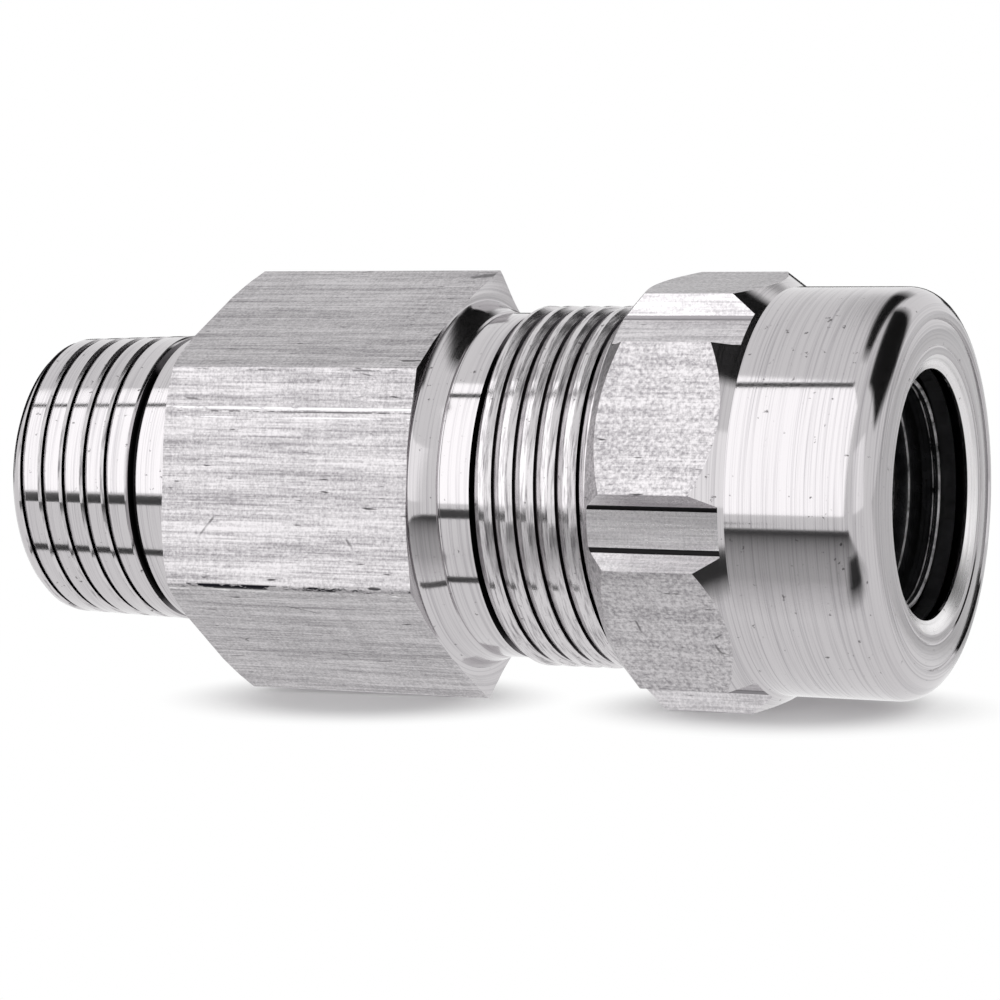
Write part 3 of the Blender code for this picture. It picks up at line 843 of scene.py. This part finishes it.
bushing.data.materials.append(black_rubber)
# Painted highlights: light grey patches on the rims of the ribs.
finish_faces(bushing, rib_highlight_rubber, on_rib_rims)
bpy.ops.object.shade_smooth_by_angle(angle=SOFT_EDGE)
rest_object_on_axis(bushing)
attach(bushing, "body")
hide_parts("sealing_bushing")

# %% [markdown]
# The slip washer, the grounding ring and the end stop lie deep inside, so their CAD shapes are enough. They stay
# as they are, and get the finish of what they are made of.

# %% The other inner pieces
inner_finishes = {"slip_washer": black_nylon, "grounding_ring": stainless, "end_stop": natural_nylon}
for node_name, finish in inner_finishes.items():
    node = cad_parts[node_name]
    node.data.materials.clear()
    node.data.materials.append(finish)
    print(node_name, "is", finish.name)

# %% [markdown]
# The camera stands to the right and a little above, and leans by about three degrees, as in the photograph. Its
# lens is long, so the hexagon stays nearly as wide at its far end as at its near one.

# %% The camera
CAMERA_PLACE = Vector((109.74, -233.09, 62.46)) * MM
CAMERA_LENS = 129.62
CAMERA_SENSOR = 36.0
CAMERA_YAW, CAMERA_PITCH, CAMERA_ROLL = math.radians(25.0), math.radians(10.65), math.radians(-3.46)
camera_data = bpy.data.cameras.new("camera")
camera_data.lens = CAMERA_LENS
camera_data.sensor_width = CAMERA_SENSOR
camera_data.clip_start = 0.01
camera_data.clip_end = 10.0
camera = bpy.data.objects.new("camera", camera_data)
bpy.context.scene.collection.objects.link(camera)
back = Vector((math.sin(CAMERA_YAW) * math.cos(CAMERA_PITCH), -math.cos(CAMERA_YAW) * math.cos(CAMERA_PITCH),
               math.sin(CAMERA_PITCH)))
right = Vector((math.cos(CAMERA_YAW), math.sin(CAMERA_YAW), 0.0))
up = back.cross(right)
turned_right = right * math.cos(CAMERA_ROLL) + up * math.sin(CAMERA_ROLL)
turned_up = up * math.cos(CAMERA_ROLL) - right * math.sin(CAMERA_ROLL)
facing = Matrix((turned_right, turned_up, back)).transposed().to_4x4()
camera.matrix_world = Matrix.Translation(CAMERA_PLACE) @ facing
bpy.context.scene.camera = camera
print("camera distance in mm:", round(CAMERA_PLACE.length / MM))

# %% [markdown]
# Metal shows its surroundings more than itself, so most of the look is made here. The world and the floor are
# white where the eye or a reflection meets them, and the floor keeps a soft shadow close to the connector. The
# connector lies on a corner of its hexagon and on a flat of its nut, so the floor is tilted to touch both.

# %% The floor
FLOOR_SIZE = 6000.0
FLOOR_TILT = (AXIS_HEIGHT - LAND_APOTHEM) / (LAND_END - HEX_END)
# Two pools of shadow, under the hexagon and under the nut, twice as long as they are wide
SHADOW_MIDDLES = (-9.5, 24.0)
SHADOW_FORWARD = 4.0
SHADOW_NEAR, SHADOW_FAR = 3.0, 8.5
SHADOW_SQUEEZE = 0.5


def white_for_the_eye(tree):
    """1 for rays that come from the camera, a mirror or glass."""
    path = add_node(tree, "LightPath")
    seen = add_node(tree, "Math", {"operation": "MAXIMUM"},
                    {0: path.outputs["Is Camera Ray"], 1: path.outputs["Is Glossy Ray"]})
    return add_node(tree, "Math", {"operation": "MAXIMUM"},
                    {0: seen, 1: path.outputs["Is Transmission Ray"]})


bpy.ops.object.select_all(action="DESELECT")
bpy.ops.mesh.primitive_plane_add(size=FLOOR_SIZE * MM)
floor = bpy.context.active_object
floor.name = "floor"
floor.rotation_euler.y = -math.atan(FLOOR_TILT)
floor.location.z = -HEX_END * MM * FLOOR_TILT
# White paper: matt, so it only gives the eye a white ground, which is left grey in the two pools of shadow.
floor_material, tree, shader = new_finish("white_paper")
fill_inputs(tree, shader, {"Base Color": "#F4F4F4", "Roughness": 0.9})
place = add_node(tree, "TexCoord").outputs["Object"]
distances = []
for middle in SHADOW_MIDDLES:
    squeezed = add_node(tree, "VectorMath", {"operation": "MULTIPLY_ADD"}, {
        0: place, 1: (SHADOW_SQUEEZE, 1.0, 1.0),
        2: (-middle * MM * SHADOW_SQUEEZE, SHADOW_FORWARD * MM, 0.0)})
    distances.append(add_node(tree, "VectorMath", {"operation": "LENGTH"}, {0: squeezed}))
distance = add_node(tree, "Math", {"operation": "MINIMUM"}, {0: distances[0], 1: distances[1]})
mirror = add_node(tree, "LightPath").outputs["Is Glossy Ray"]
outside = add_node(tree, "MapRange", {"interpolation_type": "SMOOTHSTEP"},
                   {"Value": distance, "From Min": SHADOW_NEAR * MM, "From Max": SHADOW_FAR * MM,
                    "To Min": mirror})
white = add_node(tree, "Math", {"operation": "MULTIPLY"}, {0: white_for_the_eye(tree), 1: outside})
glow = add_node(tree, "Emission", inputs={"Strength": 1.0})
ground = add_node(tree, "MixShader", inputs={0: white, 1: shader.outputs[0], 2: glow})
fill_inputs(tree, tree.nodes["Material Output"], {"Surface": ground})
floor.data.materials.append(floor_material)

# %% [markdown]
# The world is white as well. It lights the connector a little less than it shows in reflections, so the metal
# keeps its contrast.

# %% The world
WORLD_LEVEL = 0.85
world = bpy.data.worlds.new("studio")
bpy.context.scene.world = world
world.use_nodes = True
tree = world.node_tree
level = add_node(tree, "MapRange", inputs={"Value": white_for_the_eye(tree), "To Min": WORLD_LEVEL})
fill_inputs(tree, tree.nodes["Background"], {"Strength": level, "Color": (1, 1, 1, 1)})
print("floor tilt in degrees:", round(math.degrees(math.atan(FLOOR_TILT)), 2))

# %% [markdown]
# A large softbox in front and above gives the broad white bands on the cylinders. A small one at the right lights
# the edges.

# %% Two softboxes
KEY_RADIANCE = 0.6
SIDE_RADIANCE = 0.3
KEY_ANGLE = math.radians(35.0)
LAMP_DISTANCE = 600.0
# Blender spreads a lamp's watts over four times its area.
WATTS_PER_AREA = 4.0
MIDDLE = Vector((0.0, 0.0, AXIS_HEIGHT * MM))


def softbox(name, direction, width, height, radiance):
    """An area lamp that looks at the connector's middle from a direction."""
    data = bpy.data.lights.new(name, "AREA")
    data.shape = "RECTANGLE"
    data.size, data.size_y = width * MM, height * MM
    data.energy = radiance * WATTS_PER_AREA * data.size * data.size_y
    lamp = bpy.data.objects.new(name, data)
    bpy.context.scene.collection.objects.link(lamp)
    lamp.location = Vector(direction).normalized() * LAMP_DISTANCE * MM + MIDDLE
    lamp.rotation_mode = "QUATERNION"
    lamp.rotation_quaternion = Vector(direction).to_track_quat("Z", "Y")


softbox("key_softbox", (-0.504, -math.cos(KEY_ANGLE), math.sin(KEY_ANGLE)), 800.0, 950.0, KEY_RADIANCE)
softbox("side_softbox", (0.72, -0.68, 0.15), 400.0, 500.0, SIDE_RADIANCE)

# %% [markdown]
# Cards, which only the metal can see, stand or lie where the photographer's studio wasn't white. A soft rim
# makes the border of a reflection soft. A card's corners are given on the floor, over the front horizon, or far
# off in a direction from the connector's middle.

# %% A card, and three ways to place its corners
BLACK_CARD = "#050505"
CARD_LIFT = 0.4
FAR_AWAY = 500.0


def card(name, corners, colour=BLACK_CARD, soft=0.0, fade_to=None):
    """A matt card: corners in millimetres, soft rims, and a fade to a second colour on the first side."""
    bpy.ops.object.select_all(action="DESELECT")
    bpy.ops.mesh.primitive_plane_add(size=1.0)
    flag = bpy.context.active_object
    flag.name = name
    for vert, corner in zip((0, 1, 3, 2), corners):
        flag.data.vertices[vert].co = Vector(corner) * MM
    material, tree, shader = new_finish(name)
    fill_inputs(tree, shader, {"Base Color": colour, "Roughness": 1.0})
    uv = add_node(tree, "TexCoord").outputs["UV"]
    place = add_node(tree, "SeparateXYZ", inputs={0: uv})
    if fade_to:
        fade = add_node(tree, "MapRange",
                        inputs={"Value": place.outputs["Y"], "From Min": 0.7, "From Max": 0.0})
        faded = add_node(tree, "Mix", OF_COLOURS, {"Factor": fade, "A": colour, "B": fade_to})
        fill_inputs(tree, shader, {"Base Color": faded})
    if soft:
        inside = []
        for axis in "XY":
            rim = add_node(tree, "Math", {"operation": "PINGPONG"}, {0: place.outputs[axis], 1: 0.5})
            inside.append(add_node(tree, "MapRange", inputs={"Value": rim, "From Max": soft}))
        solid = add_node(tree, "Math", {"operation": "MULTIPLY"}, {0: inside[0], 1: inside[1]})
        clear = add_node(tree, "BsdfTransparent")
        both = add_node(tree, "MixShader", inputs={0: solid, 1: clear, 2: shader.outputs[0]})
        fill_inputs(tree, tree.nodes["Material Output"], {"Surface": both})
    flag.data.materials.append(material)
    flag.visible_camera = False
    flag.visible_diffuse = False
    flag.visible_shadow = False


def on_floor(along, across, lift=CARD_LIFT):
    """A place just above the tilted floor, in millimetres."""
    return (along, across, (along - HEX_END) * FLOOR_TILT + lift)


def over_front(along, angle):
    """A far place at an angle above the front horizon, seen from the axis."""
    angle = math.radians(angle)
    return (along, -FAR_AWAY * math.cos(angle), AXIS_HEIGHT + FAR_AWAY * math.sin(angle))


def towards(direction):
    """A far place in this direction from the connector's middle, in millimetres."""
    return tuple(Vector(direction).normalized() * FAR_AWAY + MIDDLE / MM)


# %% [markdown]
# Where a card has to be is found by following a reflection from the camera to the metal and on to what the metal
# mirrors. Thin cards draw the dark lines along the cylinders, and large ones draw the dark patches.

# %% Set up the cards
# Over the softbox: the thin dark line near the top of the turned surfaces
card("softbox_rim", [over_front(-420, 69.5), over_front(-60, 69.5), over_front(-60, 72.7),
                     over_front(-420, 72.7)])
# The table's edge: the dark line under the middle of the pipe thread
card("table_edge", [on_floor(-25, -86), on_floor(-110, -88), on_floor(-290, -340), on_floor(-25, -150)])
# Shade on the table in front: the grey lower half of the nut, the gland thread and the collar
card("table_shade", [on_floor(-4, -17, 0.6), on_floor(60, -17, 0.6), on_floor(50, -110, 0.6),
                     on_floor(-30, -110, 0.6)], "#202020", 0.12, "#DCDCDC")
# Shade under the nut's front: the dark spot low on its round edge
card("cone_shade", [on_floor(27, -19, 0.8), on_floor(46, -19, 0.8), on_floor(56, -44, 0.8),
                    on_floor(33, -44, 0.8)], "#2A2A2A", 0.25)
# A dark strip on the floor, which only the metal sees: the lower dark line on the pipe thread
card("dark_floor_strip", [on_floor(-52, -17.5), on_floor(8, -18), on_floor(8, -19.5), on_floor(-52, -20.5)],
     "#3C3C3C")
# The dark side of the studio: the black patches in the nut's round edge, on its face and in the shoulder
card("right_card", [towards((0.50, -0.25, 0.83)), towards((0.96, 0.02, 0.27)), towards((0.68, 0.76, 0.02)),
                    towards((0.12, 0.66, 0.76))], BLACK_CARD, 0.12)
card("top_card", [towards((-0.10, -0.12, 0.98)), towards((0.24, -0.12, 0.96)), towards((0.16, 0.92, 0.36)),
                  towards((-0.24, 0.92, 0.32))], BLACK_CARD, 0.2)
# Left, back and the floor behind: contrast for the views from the other sides
card("left_card", [(-400, 70, 0), (-400, 420, -8), (-400, 420, 350), (-400, 70, 350)])
card("back_card", [(-700, 500, -10), (40, 500, -10), (40, 500, 52), (-700, 500, 52)])
card("back_floor", [on_floor(-300, 50), on_floor(20, 50), on_floor(20, 480), on_floor(-560, 480)],
     BLACK_CARD, 0.1)
# Pale paper at the right: keeps the nut's face light grey
card("pale_floor", [on_floor(25, 4), on_floor(220, 4), on_floor(420, 480), on_floor(25, 480)],
     "#E8E8E8", 0.02)

# %% [markdown]
# Colours are shown as they are, without a film curve, because the photograph's ground is pure white. The sizes
# of the CAD model and of the finished connector are written down, to be compared.

# %% Colour management
bpy.context.scene.view_settings.view_transform = "Standard"
